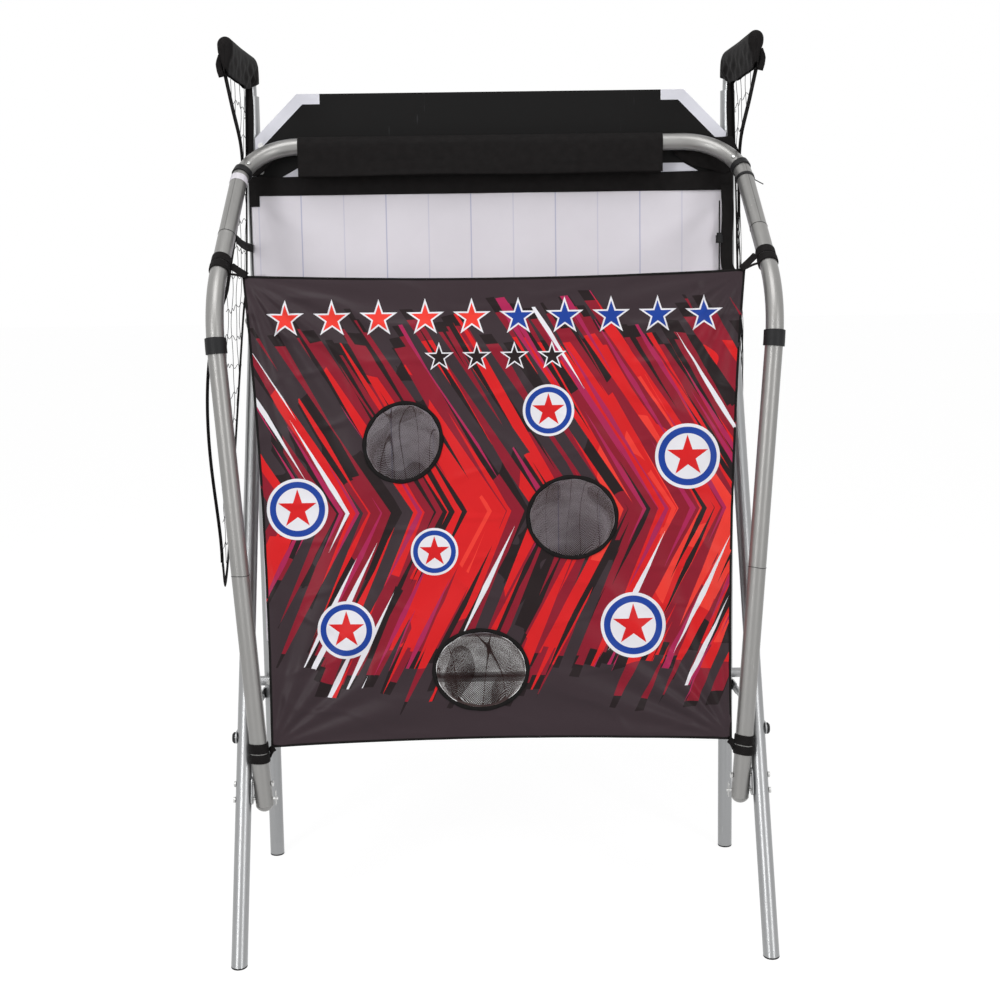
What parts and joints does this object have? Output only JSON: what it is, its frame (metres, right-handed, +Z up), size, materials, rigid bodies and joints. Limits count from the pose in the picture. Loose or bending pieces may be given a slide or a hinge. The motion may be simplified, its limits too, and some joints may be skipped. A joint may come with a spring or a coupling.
{
  "type": "pitching target net",
  "caption": "Free-standing throwing target: a folding tube frame holds a printed sheet with mesh pockets in front of a leaning stand with a rear cloth, backboard and side nets.",
  "frame": {"origin": "on the floor, under the middle of the object's box", "axes": "+X to the right as the player sees it, +Y away from the player, +Z up"},
  "size_m": [1.1522, 0.6643, 1.801],
  "materials": {
    "stand_steel": "satin silver-grey paint",
    "frame_steel": "semi-matt grey paint",
    "rubber": "matt",
    "black_plastic": "matt",
    "hardware": "zinc plated",
    "board": "satin board, black with white corners",
    "white_cloth": "woven polyester",
    "black_cloth": "woven polyester",
    "net_cord": "thin twisted cord",
    "mesh": "fine soft mesh",
    "printed_sheet": "printed polyester, satin"
  },
  "bodies": {
    "stand": {"left_rear_pole": "stand_steel", "right_rear_pole": "stand_steel", "left_front_leg": "stand_steel", "right_front_leg": "stand_steel", "rear_feet": "rubber", "front_feet": "rubber", "leg_gussets": "stand_steel", "left_spreader": "stand_steel", "right_spreader": "stand_steel", "spreader_bolts": "hardware", "rear_crossbar": "stand_steel", "frame_bolts": "hardware", "left_net_arm": "stand_steel", "right_net_arm": "stand_steel", "backboard": "board", "backboard_bolts": "hardware", "rear_cloth": "white_cloth", "cloth_binding": "black_cloth", "drawcord": "black_cloth", "cloth_strap": "black_cloth", "left_side_net": "net_cord", "right_side_net": "net_cord", "left_net_strap": "black_cloth", "right_net_strap": "black_cloth", "left_arm_hood": "black_cloth", "right_arm_hood": "black_cloth", "quadrant_plates": "stand_steel", "plate_bolts": "hardware", "pivot_bolts": "hardware"},
    "front_frame": {"left_lower_upright": "frame_steel", "left_middle_upright": "frame_steel", "left_elbow_tube": "frame_steel", "left_upper_rail": "frame_steel", "right_lower_upright": "frame_steel", "right_middle_upright": "frame_steel", "right_elbow_tube": "frame_steel", "right_upper_rail": "frame_steel", "top_bar": "frame_steel", "corner_collars": "black_plastic", "coupler_collars": "black_plastic", "end_plugs": "frame_steel", "stop_pins": "hardware", "spring_clips": "hardware", "bar_sleeve": "black_cloth", "target_sheet": "printed_sheet", "pocket_rims": "black_cloth", "high_pocket": "mesh", "middle_pocket": "mesh", "low_pocket": "mesh", "lower_sheet_straps": "black_cloth", "upper_sheet_straps": "black_cloth", "cable_tie": "black_plastic"},
    "left_spreader_knob": {"left_spreader_knob": "black_plastic"},
    "right_spreader_knob": {"right_spreader_knob": "black_plastic"},
    "left_arm_button": {"left_arm_button": "hardware"},
    "right_arm_button": {"right_arm_button": "hardware"},
    "cord_lock": {"cord_lock": "black_plastic"},
    "cord_lock_button": {"cord_lock_button": "black_plastic"},
    "left_corner_button": {"left_corner_button": "hardware"},
    "right_corner_button": {"right_corner_button": "hardware"}
  },
  "joints": [
    {"name": "front_frame_fold", "type": "hinge", "parent": "stand", "child": "front_frame", "pos_m": [0, -0.16985, 0.322], "axis": [1, 0, 0], "range_deg": [0, 60]},
    {"name": "left_knob_turn", "type": "hinge", "parent": "stand", "child": "left_spreader_knob", "pos_m": [-0.5448, -0.13134, 0.407], "axis": [-1, 0, 0], "range_deg": [-180, 180]},
    {"name": "left_arm_button_press", "type": "slide", "parent": "stand", "child": "left_arm_button", "axis": [1, 0, 0], "range_m": [0, 0.004], "stiffness_N_per_m": 600, "springref_m": -0.002},
    {"name": "left_corner_button_press", "type": "slide", "parent": "front_frame", "child": "left_corner_button", "axis": [-0.3831, 0.7685, -0.5124], "range_m": [0, 0.004], "stiffness_N_per_m": 600, "springref_m": -0.002},
    {"name": "right_knob_turn", "type": "hinge", "parent": "stand", "child": "right_spreader_knob", "pos_m": [0.5448, -0.13134, 0.407], "axis": [1, 0, 0], "range_deg": [-180, 180]},
    {"name": "right_arm_button_press", "type": "slide", "parent": "stand", "child": "right_arm_button", "axis": [-1, 0, 0], "range_m": [0, 0.004], "stiffness_N_per_m": 600, "springref_m": -0.002},
    {"name": "right_corner_button_press", "type": "slide", "parent": "front_frame", "child": "right_corner_button", "axis": [0.3831, 0.7685, -0.5124], "range_m": [0, 0.004], "stiffness_N_per_m": 600, "springref_m": -0.002},
    {"name": "cord_lock_slide", "type": "slide", "parent": "stand", "child": "cord_lock", "axis": [0, 0.0321, 0.9995], "range_m": [-0.058, 0.065]},
    {"name": "cord_lock_press", "type": "slide", "parent": "cord_lock", "child": "cord_lock_button", "axis": [0, -0.0321, -0.9995], "range_m": [0, 0.0035], "stiffness_N_per_m": 400, "springref_m": -0.002}
  ]
}
